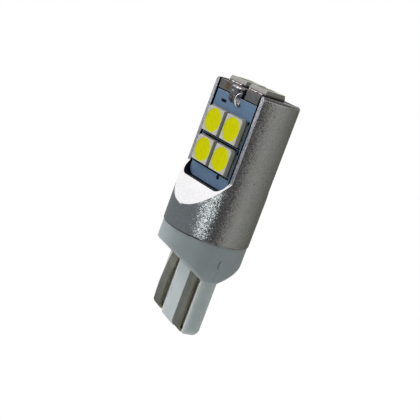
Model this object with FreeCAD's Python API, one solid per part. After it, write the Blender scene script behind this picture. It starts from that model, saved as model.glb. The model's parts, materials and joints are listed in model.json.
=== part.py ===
"""Wedge base LED bulb: a milled aluminium housing on a plastic wedge base, with LED boards on two sides and on top.

The origin is on the bulb's axis, in the shoulder plane where the wedge blade leaves the base.
+Z runs along the axis towards the LEDs, +X along the blade's width, and -Y is the blade's front.
Lengths are in millimetres and angles in degrees.
"""
import FreeCAD, Part
import math
import os

Vector = FreeCAD.Vector
AXIS = Vector(0, 0, 1)

# Wedge blade
blade_width = 9.4
blade_thickness = 2.0
blade_length = 6.35
blade_corner_radius = 0.2
blade_front_tip_radius = 0.3
blade_rear_tip_radius = 0.8
rib_width = 3.2
rib_overhang = 0.35
rib_tip_radius = 0.45
channel_width = 2.85
channel_depth = 0.4
web_tip_radius = 0.5

# Base collar
collar_step = 0.15
collar_height = 4.2
collar_slope = 30.0
collar_edge_radius = 0.35
spigot_fit = 0.05
driver_side_gap = 0.4
cavity_floor = 2.0

# Contacts
contact_width = 1.8
contact_thickness = 0.3
contact_stand_off = 0.4
contact_tip_gap = 0.1
contact_fit = 0.03
contact_lean = 0.3
contact_bow = 0.2
contact_bend_radius = 0.62
contact_rear_leg = 4.3
tongue_reach = 0.6

# Head, which is turned on the base as in the photograph
head_turn = 12.5
housing_diameter = 10.0
housing_length = 16.5
housing_rim_radius = 0.25
housing_foot_chamfer = 0.12
bore_wall = 0.9
bore_depth = 2.4
flat_depth = 2.45
rear_flat_depth = 1.95
ramp_over_pocket = 1.4
ramp_angle = 31.7
pocket_wall = 1.2
pocket_depth = 1.0
pocket_under_row = 1.78
pocket_corner_radius = 1.15

# Circuit boards
board_thickness = 0.95
board_corner_radius = 1.0
board_side_gap = 0.3
board_foot_gap = 0.1
board_top_gap = 0.1
top_board_thickness = 1.05
top_board_sink = 0.05
solder_notch_width = 2.5
solder_notch_depth = 0.5
driver_on_tongue = 0.475
driver_thickness = 0.8
driver_gap = 0.2

# LED packages
led_draft = 0.1
led_height = 0.68
led_skirt = 0.18
led_corner_cut = 0.45
phosphor_rim = 0.165
phosphor_taper = 0.25
phosphor_depth = 0.34
phosphor_dip = 0.02
terminal_thickness = 0.08
terminal_inset = 0.4
terminal_width = 0.6
terminal_proud = 0.12
terminal_edge_gap = 0.215
led_column_gap = 0.33
led_row_gap = 0.36
top_led_gap = 0.56
top_led_setback = 0.87
upper_row_drop = 4.49

# Leads, solder and driver parts
lead_diameter = 0.4
lead_hole_gap = 0.05
lead_sleeve_gap = 0.25
lead_offset = 1.55
lead_over_pocket = 1.28
lead_recess = 0.4
solder_left = 1.2
solder_right = 0.95
solder_height = 2.1
solder_bulge = 0.55
solder_crown = 0.1
solder_pad_width = 2.0
solder_pad_rise = 0.28
rectifier_size = (2.6, 1.1, 2.4)
rectifier_height = 4.4
resistor_size = (3.2, 0.55, 1.6)
resistor_heights = (3.6, 5.7)
capacitor_size = (1.6, 0.8, 0.8)
capacitor_height = 6.1

# Places that follow from the sizes above
blade_half = blade_thickness / 2
web_half = blade_half - channel_depth
channel_offset = (rib_width + channel_width) / 2
contact_outer = web_half + contact_stand_off + contact_thickness
contact_inner = contact_outer - contact_thickness
contact_bottom = -blade_length - contact_tip_gap / 2
bend_height = contact_bottom + contact_bend_radius
tongue_top = cavity_floor + contact_thickness
collar_diameter = housing_diameter - 2 * collar_step
housing_foot = collar_height
housing_top = housing_foot + housing_length
flat_distance = housing_diameter / 2 - flat_depth
rear_shift = flat_depth - rear_flat_depth
bore_diameter = housing_diameter - 2 * bore_wall
driver_width = 2 * (channel_offset - contact_width / 2 + driver_on_tongue)
cavity_diameter = driver_width + 2 * driver_side_gap
pocket_floor = flat_distance - pocket_depth
board_face = pocket_floor + board_thickness
pocket_width = housing_diameter - 2 * pocket_wall
board_width = pocket_width - 2 * board_side_gap
led_width = (board_width - led_column_gap) / 2 - terminal_proud - terminal_edge_gap
led_face_width = led_width - 2 * led_draft
phosphor_diameter = led_width - 2 * phosphor_rim
terminal_length = led_width - 2 * terminal_inset
side_led_pitch = led_width + led_column_gap
top_led_pitch = led_width + top_led_gap
top_led_front = flat_distance - top_led_setback
row_pitch = led_width + led_row_gap
upper_row_height = housing_length - upper_row_drop
pocket_foot = upper_row_height - row_pitch - led_width / 2 - pocket_under_row
ramp_start = pocket_foot + ramp_over_pocket
lead_height = pocket_foot + lead_over_pocket
board_foot = housing_foot + pocket_foot + board_foot_gap
top_board_face = housing_top - top_board_sink
seat_height = top_board_face - top_board_thickness
board_top = seat_height - board_top_gap
driver_half = driver_thickness / 2
solder_foot = top_board_face - solder_height
big = 4 * housing_diameter


def box(x, y, z):
    """A box between three pairs of limits."""
    size = [limits[1] - limits[0] for limits in (x, y, z)]
    return Part.makeBox(*size, Vector(x[0], y[0], z[0]))


def rod(diameter, low, high):
    """A cylinder on the bulb's axis."""
    return Part.makeCylinder(diameter / 2, high - low, Vector(0, 0, low), AXIS)


def cross_rod(diameter, x, z, front_from, front_to):
    """A cylinder that points to the front, between two distances from the axis."""
    return Part.makeCylinder(diameter / 2, front_to - front_from, Vector(x, -front_from, z), Vector(0, -1, 0))


def prism(outline, x_low, x_high):
    """A profile in the plane of front distance and height, run along X. Its edges come as a closed list."""
    face = Part.Face(Part.Wire(outline))
    return face.extrude(Vector(x_high - x_low, 0, 0)).translated(Vector(x_low, 0, 0))


def at(front, height):
    """A point of such a profile, front of the axis by one length and up by another."""
    return Vector(0, -front, height)


def path(*stops):
    """Straight edges through points, in order."""
    return [Part.makeLine(a, b) for a, b in zip(stops, stops[1:])]


def arc(start, middle, end):
    """One arc through three points, as an edge."""
    return Part.Arc(start, middle, end).toShape()


def rounded_plate(width, foot, top, radius, front_low, front_high):
    """A plate that faces the front, with its two lower corners rounded."""
    plate = box((-width / 2, width / 2), (-front_high, -front_low), (foot, top))
    corners = [e for e in plate.Edges if runs_along(e, Vector(0, 1, 0)) and abs(e.CenterOfMass.z - foot) < 1e-6]
    return plate.makeFillet(radius, corners)


def runs_along(edge, direction):
    """True for a straight edge that is parallel to a direction."""
    if edge.Curve.TypeId != "Part::GeomLine":
        return False
    return abs(edge.tangentAt(edge.FirstParameter).dot(direction)) > 0.9999


def opposite(shape):
    """The same shape on the opposite side of the axis."""
    return shape.rotated(Vector(), AXIS, 180)


def to_rear(shape):
    """The shape on the rear side, whose flat is cut less deep and so lies further from the axis."""
    return opposite(shape).translated(Vector(0, rear_shift, 0))


def on_head(shape):
    """Turns a shape of the head to where the head stands on the base."""
    return shape.rotated(Vector(), AXIS, head_turn)


def make_housing():
    """The turned and milled housing: two flats with ramps and board pockets, a seat for the top board and a bore."""
    body = rod(housing_diameter, housing_foot, housing_top)
    rims = [e for e in body.Edges if e.Curve.TypeId == "Part::GeomCircle"]
    top_rim = [e for e in rims if abs(e.CenterOfMass.z - housing_top) < 1e-6]
    foot_rim = [e for e in rims if abs(e.CenterOfMass.z - housing_foot) < 1e-6]
    body = body.makeFillet(housing_rim_radius, top_rim)
    body = body.makeChamfer(housing_foot_chamfer, [e for e in body.Edges if e.CenterOfMass.isEqual(
        foot_rim[0].CenterOfMass, 1e-6) and e.Curve.TypeId == "Part::GeomCircle"])
    ramp_top = housing_foot + ramp_start
    ramp_run = (big - flat_distance) / math.tan(math.radians(ramp_angle))
    cut = prism(path(at(flat_distance, ramp_top), at(flat_distance, housing_top + big), at(big, housing_top + big),
                     at(big, ramp_top - ramp_run), at(flat_distance, ramp_top)), -big, big)
    pocket = rounded_plate(pocket_width, housing_foot + pocket_foot, housing_top + big, pocket_corner_radius,
                           pocket_floor, big)
    sleeve = cross_rod(lead_diameter + 2 * lead_sleeve_gap, lead_offset, housing_foot + lead_height, 0, big)
    for tool in (cut, pocket):
        body = body.cut(tool).cut(to_rear(tool))
    body = body.cut(sleeve).cut(opposite(sleeve))
    body = body.cut(box((-pocket_width / 2, pocket_width / 2), (-big, big), (seat_height, housing_top + big)))
    body = body.cut(rod(bore_diameter, housing_foot - 1, housing_foot + bore_depth))
    slot_x = driver_width / 2 + driver_gap
    slot_y = driver_half + driver_gap
    body = body.cut(box((-slot_x, slot_x), (-slot_y, slot_y), (housing_foot, housing_top)))
    return body.removeSplitter()


def blade_section(front_from, front_to, radius_front, radius_rear, tip, x_low, x_high):
    """A slab of the blade whose tip has its own radius at the front and at the rear."""
    half = math.sqrt(0.5)
    front_arc = arc(at(front_to, tip + radius_front),
                    at(front_to - radius_front * (1 - half), tip + radius_front * (1 - half)),
                    at(front_to - radius_front, tip))
    rear_arc = arc(at(front_from + radius_rear, tip),
                   at(front_from + radius_rear * (1 - half), tip + radius_rear * (1 - half)),
                   at(front_from, tip + radius_rear))
    root = collar_height / 8
    outline = [Part.makeLine(at(front_to, root), at(front_to, tip + radius_front)), front_arc]
    outline += path(at(front_to - radius_front, tip), at(front_from + radius_rear, tip))
    outline += [rear_arc] + path(at(front_from, tip + radius_rear), at(front_from, root), at(front_to, root))
    return prism(outline, x_low, x_high)


def make_holder():
    """The moulded base: a collar with two sloped faces, a spigot, and a blade with a rib, channels and lips."""
    collar = rod(collar_diameter, 0, collar_height)
    rise = (big - blade_half) * math.tan(math.radians(collar_slope))
    slope = prism(path(at(blade_half, 0), at(big, rise), at(big, -1), at(blade_half, -1), at(blade_half, 0)), -big, big)
    collar = collar.cut(slope).cut(opposite(slope))
    rims = [e for e in collar.Edges if e.Curve.TypeId != "Part::GeomLine" and 0.3 < e.CenterOfMass.z
            and e.BoundBox.ZMax < collar_height - 1e-6]
    collar = collar.makeFillet(collar_edge_radius, rims)
    blade = blade_section(-blade_half, blade_half, blade_front_tip_radius, blade_rear_tip_radius, -blade_length,
                          -blade_width / 2, blade_width / 2)
    upright = [e for e in blade.Edges if runs_along(e, AXIS)]
    blade = blade.makeFillet(blade_corner_radius, upright)
    web_tip = contact_bottom + contact_thickness + contact_tip_gap
    for side in (-1, 1):
        inner = side * rib_width / 2
        outer = side * (rib_width / 2 + channel_width)
        low, high = min(inner, outer), max(inner, outer)
        web = blade_section(-web_half, web_half, web_tip_radius, web_tip_radius, web_tip, low, high)
        blade = blade.cut(box((low, high), (-big, big), (-big, 0))).fuse(web)
    rib = blade_section(-blade_half, blade_half, rib_tip_radius, rib_tip_radius, -blade_length - rib_overhang,
                        -rib_width / 2, rib_width / 2)
    blade = blade.fuse(rib).common(box((-big, big), (-blade_half, blade_half), (-big, 0)))
    spigot = rod(bore_diameter - 2 * spigot_fit, collar_height, collar_height + bore_depth - spigot_fit)
    body = collar.fuse([blade, spigot])
    body = body.cut(rod(cavity_diameter, cavity_floor, collar_height + bore_depth))
    for side, lean in ((-1, contact_lean), (1, 0)):
        root_outer = contact_outer - lean
        width = contact_width / 2 + contact_fit
        middle = side * channel_offset
        across = (middle - width, middle + width)
        slot = box(across, (-root_outer - contact_fit, -root_outer + contact_thickness + contact_fit),
                   (-1, tongue_top))
        bed = box(across, (-root_outer - contact_fit, tongue_reach + contact_fit), (cavity_floor, tongue_top))
        body = body.cut(slot).cut(bed)
    return body.removeSplitter()


def turn_under(half, radius):
    """The line from a strip's front leg to its rear leg: two round bends with a flat between them."""
    bottom = bend_height - radius
    near = radius * (1 - math.sqrt(0.5))
    return [arc(at(half, bend_height), at(half - near, bottom + near), at(half - radius, bottom)),
            Part.makeLine(at(half - radius, bottom), at(radius - half, bottom)),
            arc(at(radius - half, bottom), at(near - half, bottom + near), at(-half, bend_height))]


def front_leg(root, half, bow):
    """The line of a strip's front leg, down from the collar: straight, or bowed outward."""
    if not bow:
        return path(at(root, 0), at(half, bend_height))
    return [arc(at(root, 0), at((root + half) / 2 + bow, bend_height / 2), at(half, bend_height))]


def make_contact(side, lean, bow):
    """A contact bent from one strip: inner tongue, front leg, the turn under the blade and the rear leg."""
    root_outer = contact_outer - lean
    root_inner = root_outer - contact_thickness
    rear_end = bend_height + contact_rear_leg
    outline = path(at(-tongue_reach, tongue_top), at(root_outer, tongue_top), at(root_outer, 0))
    outline += front_leg(root_outer, contact_outer, bow)
    outline += turn_under(contact_outer, contact_bend_radius)
    outline += path(at(-contact_outer, bend_height), at(-contact_outer, rear_end), at(-contact_inner, rear_end),
                    at(-contact_inner, bend_height))
    inner_side = front_leg(root_inner, contact_inner, bow)
    inner_side += turn_under(contact_inner, contact_bend_radius - contact_thickness)
    outline += reversed(inner_side)
    outline += path(at(root_inner, 0), at(root_inner, cavity_floor), at(-tongue_reach, cavity_floor),
                    at(-tongue_reach, tongue_top))
    middle = side * channel_offset
    return prism(outline, middle - contact_width / 2, middle + contact_width / 2)


def make_side_board():
    """The front LED board, with rounded lower corners and the hole for its lead."""
    board = rounded_plate(board_width, board_foot, board_top, board_corner_radius, pocket_floor, board_face)
    return board.cut(cross_rod(lead_diameter + 2 * lead_hole_gap, lead_offset, housing_foot + lead_height, 0, big))


def make_top_board():
    """The top LED board, which bridges both side boards and has a soldering notch over each."""
    board = box((-board_width / 2, board_width / 2), (-flat_distance, flat_distance + rear_shift),
                (seat_height, top_board_face))
    notch = box((-solder_notch_width / 2, solder_notch_width / 2), (-big, -flat_distance + solder_notch_depth),
                (-big, big))
    return board.cut(notch).cut(to_rear(notch))


def make_driver_board():
    """The upright board inside, which stands on the contacts' tongues and meets the top board."""
    return box((-driver_width / 2, driver_width / 2), (-driver_half, driver_half), (tongue_top, seat_height))


def square(width, height):
    """A square outline about the axis."""
    half = width / 2
    corners = [Vector(-half, -half, height), Vector(half, -half, height), Vector(half, half, height),
               Vector(-half, half, height)]
    return Part.makePolygon(corners + corners[:1])


def phosphor_cone(depth, dip):
    """The tapered fill of an LED package, its top below the face by a small dip."""
    face_radius = phosphor_diameter / 2
    slope = phosphor_taper / phosphor_depth
    return Part.makeCone(face_radius - slope * depth, face_radius - slope * dip, depth - dip,
                         Vector(0, 0, led_height - depth), AXIS)


def make_led_case(mark_side):
    """The white package: a skirt, sloped sides, one cut corner and a tapered cup. It stands on its terminals."""
    skirt_top = terminal_thickness + led_skirt
    half = led_width / 2
    skirt = box((-half, half), (-half, half), (terminal_thickness, skirt_top))
    upper = Part.makeLoft([square(led_width, skirt_top), square(led_face_width, led_height)], True, True)
    case = skirt.fuse(upper).removeSplitter()
    corner = Part.makePolygon([Vector(mark_side * half, half, 0), Vector(mark_side * (half - led_corner_cut), half, 0),
                               Vector(mark_side * half, half - led_corner_cut, 0), Vector(mark_side * half, half, 0)])
    case = case.cut(Part.Face(corner).extrude(Vector(0, 0, led_height)))
    return case.cut(phosphor_cone(phosphor_depth, 0))


def make_led_terminals(along_x):
    """The two metal terminals under a package, on its left and right or on its two other sides."""
    outer = led_width / 2 + terminal_proud
    inner = led_width / 2 - terminal_width
    pair = []
    for side in (-1, 1):
        reach = (min(side * inner, side * outer), max(side * inner, side * outer))
        length = (-terminal_length / 2, terminal_length / 2)
        pair.append(box(reach, length, (0, terminal_thickness)) if along_x else
                    box(length, reach, (0, terminal_thickness)))
    return Part.makeCompound(pair)


def on_side_board(shape, x, z):
    """Stands a package, modelled face up at the origin, on the front board."""
    return shape.rotated(Vector(), Vector(1, 0, 0), 90).translated(Vector(x, -board_face, z))


def make_solder():
    """The solder that fills part of the top board's notch and runs down onto the front board's pad."""
    crest = flat_distance + solder_bulge
    crown = top_board_face + solder_crown
    notch_back = flat_distance - solder_notch_depth
    waist = solder_foot + 0.45 * solder_height
    outline = [arc(at(board_face, solder_foot), at(board_face + 0.4 * solder_bulge, waist),
                   at(crest, top_board_face - 2 * solder_crown)),
               arc(at(crest, top_board_face - 2 * solder_crown), at(crest - solder_crown, top_board_face),
                   at(flat_distance, crown))]
    outline += path(at(flat_distance, crown), at(notch_back, top_board_face), at(notch_back, seat_height),
                    at(board_face, seat_height), at(board_face, solder_foot))
    filling = prism(outline, -solder_left, solder_right)
    pad = prism(path(at(board_face, solder_foot), at(board_face + solder_pad_rise, board_top),
                     at(board_face, board_top), at(board_face, solder_foot)),
                -solder_pad_width / 2, solder_pad_width / 2)
    return filling.fuse(pad).removeSplitter()


def on_driver(size, height, front_side):
    """A part of a given width, thickness and height, flat on one face of the driver board."""
    width, thickness, tall = size
    low = -driver_half - thickness if front_side else driver_half
    return box((-width / 2, width / 2), (low, low + thickness), (height - tall / 2, height + tall / 2))


def make_lead(shift):
    """The straight lead from the driver board into the hole of a board that lies further out by a shift."""
    reach = board_face - lead_recess + shift
    return cross_rod(lead_diameter, lead_offset, housing_foot + lead_height, driver_half, reach)


def build_parts():
    """Every node by name, in its place."""
    parts = {"holder": make_holder(),
             "contact_left": make_contact(-1, contact_lean, contact_bow),
             "contact_right": make_contact(1, 0, 0)}
    head = {"housing": make_housing(),
            "top_board": make_top_board(),
            "driver_board": make_driver_board(),
            "front_lead": make_lead(0),
            "rear_lead": opposite(make_lead(rear_shift)),
            "bridge_rectifier": on_driver(rectifier_size, rectifier_height, True),
            "smoothing_capacitor": on_driver(capacitor_size, capacitor_height, True)}
    for number, height in enumerate(resistor_heights, 1):
        head[f"load_resistor_{number}"] = on_driver(resistor_size, height, False)
    for name, make in (("board", make_side_board), ("solder", make_solder)):
        shape = make()
        head[f"front_{name}"] = shape
        head[f"rear_{name}"] = to_rear(shape)
    fill = phosphor_cone(phosphor_depth, phosphor_dip)
    number = 0
    for row in (0, 1):
        for side in (-1, 1):
            number += 1
            place = (side * side_led_pitch / 2, housing_foot + upper_row_height - row * row_pitch)
            for name, shape in (("led", make_led_case(side)), ("phosphor", fill), ("terminals", make_led_terminals(True))):
                front = on_side_board(shape, *place)
                head[f"front_{name}_{number}"] = front
                head[f"rear_{name}_{number}"] = to_rear(front)
    for number, side in enumerate((-1, 1), 1):
        shift = Vector(side * top_led_pitch / 2, -top_led_front + led_width / 2, top_board_face)
        for name, shape in (("led", make_led_case(side)), ("phosphor", fill), ("terminals", make_led_terminals(False))):
            head[f"top_{name}_{number}"] = shape.translated(shift)
    parts.update({name: on_head(shape) for name, shape in head.items()})
    return parts


os.makedirs("parts", exist_ok=True)
for node, solid in build_parts().items():
    solid.exportStep(f"parts/{node}.step")
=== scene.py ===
"""Dresses a wedge base LED bulb and sets a plain studio and the camera around it.

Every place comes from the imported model. Lengths are named in millimetres and turned into metres by MM.
The head has a frame of its own, in which its front flat faces -Y; it stands turned on the wedge base.
"""
from __future__ import annotations

import json
import logging
import math
from dataclasses import dataclass
from enum import Enum, IntEnum
from typing import Callable, Sequence

import bmesh
import bpy
from mathutils import Matrix, Vector

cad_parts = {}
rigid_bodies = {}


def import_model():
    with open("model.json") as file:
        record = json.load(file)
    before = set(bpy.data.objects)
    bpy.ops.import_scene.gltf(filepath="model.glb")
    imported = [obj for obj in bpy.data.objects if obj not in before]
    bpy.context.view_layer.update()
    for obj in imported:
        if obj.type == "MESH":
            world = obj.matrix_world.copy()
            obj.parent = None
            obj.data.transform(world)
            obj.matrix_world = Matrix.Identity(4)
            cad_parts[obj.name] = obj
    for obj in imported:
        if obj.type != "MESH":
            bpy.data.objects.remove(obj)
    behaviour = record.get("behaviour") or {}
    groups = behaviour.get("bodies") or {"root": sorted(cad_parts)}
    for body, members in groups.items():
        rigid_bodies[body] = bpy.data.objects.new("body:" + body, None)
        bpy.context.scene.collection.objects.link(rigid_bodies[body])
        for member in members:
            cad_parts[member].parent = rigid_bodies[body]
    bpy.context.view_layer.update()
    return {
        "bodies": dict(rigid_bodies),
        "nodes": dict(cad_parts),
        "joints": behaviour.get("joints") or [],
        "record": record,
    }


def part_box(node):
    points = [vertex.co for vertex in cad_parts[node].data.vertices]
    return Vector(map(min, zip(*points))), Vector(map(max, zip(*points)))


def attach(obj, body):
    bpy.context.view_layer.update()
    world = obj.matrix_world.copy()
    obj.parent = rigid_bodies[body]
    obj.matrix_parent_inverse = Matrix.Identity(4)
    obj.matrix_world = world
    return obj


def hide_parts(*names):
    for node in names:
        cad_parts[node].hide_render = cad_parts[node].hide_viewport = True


LOG = logging.getLogger("bulb")
MM = 0.001
ROOT = "root"
LED_MAP = "package_plane"
TOUCHING = 0.001
NOISE_CORE = (0.35, 0.65)
UNIT = (0.0, 1.0)

Mesh = bmesh.types.BMesh
Face = bmesh.types.BMFace
Edge = bmesh.types.BMEdge
Material = bpy.types.Material
Socket = bpy.types.NodeSocket
Colour = tuple[float, float, float]
Point = tuple[float, float, float]
Span = tuple[float, float]


class Side(Enum):
    """A side of the head, as its turn from the front about the bulb's axis."""

    FRONT = 0.0
    REAR = math.pi

    @property
    def word(self) -> str:
        """The side's name in the names of pieces."""
        return self.name.lower()


class Nylon(IntEnum):
    """The tones of the plastic base, as its faces number them. The base is one plastic: the blade's lighter tone
    is painted glow and the channel's tone is painted light.
    """

    COLLAR = 0
    BLADE = 1
    CHANNEL = 2


class Strip(IntEnum):
    """The finishes of a contact strip, as its faces number them."""

    PLATING = 0
    CUT_EDGE = 1


class Blasted(IntEnum):
    """The finishes of the housing, as its faces number them. POCKET and RIM are painted shade, darker copies of
    the aluminium.
    """

    WALL = 0
    FLAT = 1
    RAMP = 2
    POCKET = 3
    RIM = 4


class Case(IntEnum):
    """The tones of an LED package's case, as its faces number them. The case is one white plastic; SIDE and FOOT
    are painted shade.
    """

    FACE = 0
    SIDE = 1
    FOOT = 2


class Laminate(IntEnum):
    """The finishes of a side board, as its faces number them."""

    MASK = 0
    CORE = 1


class Solder(IntEnum):
    """The finishes of the solder on a side board, as its faces number them. The rim's finish is a painted
    highlight.
    """

    BODY = 0
    RIM = 1


@dataclass(frozen=True)
class Head:
    """The head's frame, turned on the base about the bulb's axis."""

    turn: float

    @classmethod
    def measured(cls) -> Head:
        """Finds the turn from the line between the two top lights."""
        across = centre_of("top_phosphor_2") - centre_of("top_phosphor_1")
        return cls(math.atan2(across.y, across.x))

    def turn_back(self, side: Side) -> Matrix:
        """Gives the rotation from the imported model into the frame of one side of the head."""
        return Matrix.Rotation(-self.turn - side.value, 3, "Z")

    def direction(self, azimuth: float, elevation: float = 0.0) -> Vector:
        """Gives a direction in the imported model.

        Args:
            azimuth: Its angle from the head's front towards its right, in degrees.
            elevation: Its angle above the horizon, in degrees.

        Returns:
            The direction, with a length of 1.
        """
        around = math.radians(azimuth) + self.turn
        up = math.radians(elevation)
        return Vector((math.sin(around) * math.cos(up), -math.cos(around) * math.cos(up), math.sin(up)))

    def span(self, node: str, side: Side = Side.FRONT) -> tuple[Vector, Vector]:
        """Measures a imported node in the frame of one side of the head.

        Args:
            node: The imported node.
            side: The side whose frame is used.

        Returns:
            Its lowest and its highest place, in millimetres.
        """
        back = self.turn_back(side)
        points = [back @ vertex.co / MM for vertex in bpy.data.objects[node].data.vertices]
        return Vector(map(min, zip(*points))), Vector(map(max, zip(*points)))

    def place(self, bm: Mesh, side: Side = Side.FRONT) -> None:
        """Turns a mesh that was built in millimetres on one side to its place, and makes its units metres."""
        rotate(bm, self.turn + side.value)
        bmesh.ops.scale(bm, verts=bm.verts, vec=(MM, MM, MM))


def centre_of(node: str) -> Vector:
    """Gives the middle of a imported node's box."""
    low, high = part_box(node)
    return (low + high) / 2


def rotate(bm: Mesh, angle: float, axis: str = "Z") -> None:
    """Turns a whole mesh about an axis through the origin, by an angle in radians."""
    bmesh.ops.rotate(bm, verts=bm.verts, cent=(0, 0, 0), matrix=Matrix.Rotation(angle, 3, axis))


def block(low: Sequence[float], high: Sequence[float]) -> Mesh:
    """Makes a box.

    Args:
        low: Its lowest corner.
        high: Its highest corner.

    Returns:
        The box.
    """
    low, high = Vector(low), Vector(high)
    bm = bmesh.new()
    bmesh.ops.create_cube(bm, size=1.0)
    bmesh.ops.scale(bm, verts=bm.verts, vec=high - low)
    bmesh.ops.translate(bm, verts=bm.verts, vec=(low + high) / 2)
    return bm


def drum(radii: Span, heights: Span, segments: int) -> Mesh:
    """Makes a drum or a blunt cone on the Z axis.

    Args:
        radii: Its lower and its upper radius.
        heights: Where it starts and ends.
        segments: How many facets go round it.

    Returns:
        The drum, closed at both ends.
    """
    bm = bmesh.new()
    bmesh.ops.create_cone(bm, cap_ends=True, segments=segments, radius1=radii[0], radius2=radii[1],
                          depth=heights[1] - heights[0])
    bmesh.ops.translate(bm, verts=bm.verts, vec=(0, 0, sum(heights) / 2))
    return bm


def prism(outline: Sequence[Point], reach: Point) -> Mesh:
    """Makes a prism by drawing a flat outline along a line.

    Args:
        outline: The outline's corners, in order.
        reach: How far and which way it is drawn.

    Returns:
        The closed prism.
    """
    bm = bmesh.new()
    end = bm.faces.new([bm.verts.new(corner) for corner in outline])
    grown = bmesh.ops.extrude_face_region(bm, geom=[end])["geom"]
    moved = [item for item in grown if isinstance(item, bmesh.types.BMVert)]
    bmesh.ops.translate(bm, verts=moved, vec=reach)
    bmesh.ops.recalc_face_normals(bm, faces=bm.faces)
    return bm


def bead(centre: Sequence[float], radii: Sequence[float]) -> Mesh:
    """Makes a round lump.

    Args:
        centre: Its middle.
        radii: Its radius along each axis.

    Returns:
        The lump.
    """
    bm = bmesh.new()
    bmesh.ops.create_icosphere(bm, subdivisions=3, radius=1.0)
    bmesh.ops.scale(bm, verts=bm.verts, vec=radii)
    bmesh.ops.translate(bm, verts=bm.verts, vec=centre)
    return bm


def rounded_edges(bm: Mesh, edges: Sequence[Edge], width: float, segments: int, clamp: bool = True) -> None:
    """Rounds some edges, or cuts them straight where there is one segment."""
    bmesh.ops.bevel(bm, geom=list(edges), offset=width, offset_type="OFFSET", segments=segments, profile=0.5,
                    affect="EDGES", material=-1, clamp_overlap=clamp)


def sharp_edges(bm: Mesh, angle: float) -> list[Edge]:
    """Gives the edges whose faces meet under more than an angle in degrees."""
    limit = math.radians(angle)
    return [edge for edge in bm.edges if len(edge.link_faces) == 2 and edge.calc_face_angle() > limit]


def new_object(name: str, bm: Mesh) -> bpy.types.Object:
    """Puts a mesh into the scene.

    Args:
        name: The object's name.
        bm: The mesh. It is freed.

    Returns:
        The object that holds it, at the origin.
    """
    mesh = bpy.data.meshes.new(name)
    bm.to_mesh(mesh)
    bm.free()
    thing = bpy.data.objects.new(name, mesh)
    bpy.context.scene.collection.objects.link(thing)
    return thing


def settled(things: Sequence[bpy.types.Object]) -> Mesh:
    """Applies the modifiers of an object.

    Args:
        things: The object, and any others that its modifiers use. All are removed.

    Returns:
        The mesh of the first object, with its modifiers applied.
    """
    final = things[0].evaluated_get(bpy.context.evaluated_depsgraph_get())
    bm = bmesh.new()
    bm.from_mesh(final.to_mesh())
    final.to_mesh_clear()
    for thing in things:
        bpy.data.objects.remove(thing, do_unlink=True)
    return bm


def carved(body: Mesh, tools: Sequence[Mesh]) -> Mesh:
    """Cuts closed tools out of a closed body, all in millimetres.

    Args:
        body: The body. It is freed.
        tools: The tools, cut one after the other. They are freed.

    Returns:
        What is left of the body.
    """
    things = [new_object("loose", bm) for bm in (body, *tools)]
    for tool in things[1:]:
        cut = things[0].modifiers.new("cut", "BOOLEAN")
        cut.operation = "DIFFERENCE"
        cut.solver = "EXACT"
        cut.object = tool
    return settled(things)


def joined(meshes: Sequence[Mesh]) -> Mesh:
    """Puts several meshes into one.

    Args:
        meshes: The meshes. They are freed.

    Returns:
        One mesh that holds them all.
    """
    whole = bmesh.new()
    for bm in meshes:
        mesh = bpy.data.meshes.new("member")
        bm.to_mesh(mesh)
        bm.free()
        whole.from_mesh(mesh)
        bpy.data.meshes.remove(mesh)
    return whole


def melted(lumps: Sequence[Mesh], voxel: float, rounds: int) -> Mesh:
    """Melts overlapping closed lumps into one smooth skin, as solder flows together.

    Args:
        lumps: The lumps, in millimetres. They are freed.
        voxel: The size of the skin's facets.
        rounds: How often the skin is smoothed.

    Returns:
        The skin, closed.
    """
    thing = new_object("loose", joined(lumps))
    skin = thing.modifiers.new("skin", "REMESH")
    skin.mode = "VOXEL"
    skin.voxel_size = voxel
    bm = settled([thing])
    for _ in range(rounds):
        bmesh.ops.smooth_vert(bm, verts=bm.verts, factor=0.5, use_axis_x=True, use_axis_y=True, use_axis_z=True)
    return bm


def around(middle: float, below: float, above: float) -> Span:
    """Gives the range from a little below a value to a little above it."""
    return middle - below, middle + above


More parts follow.
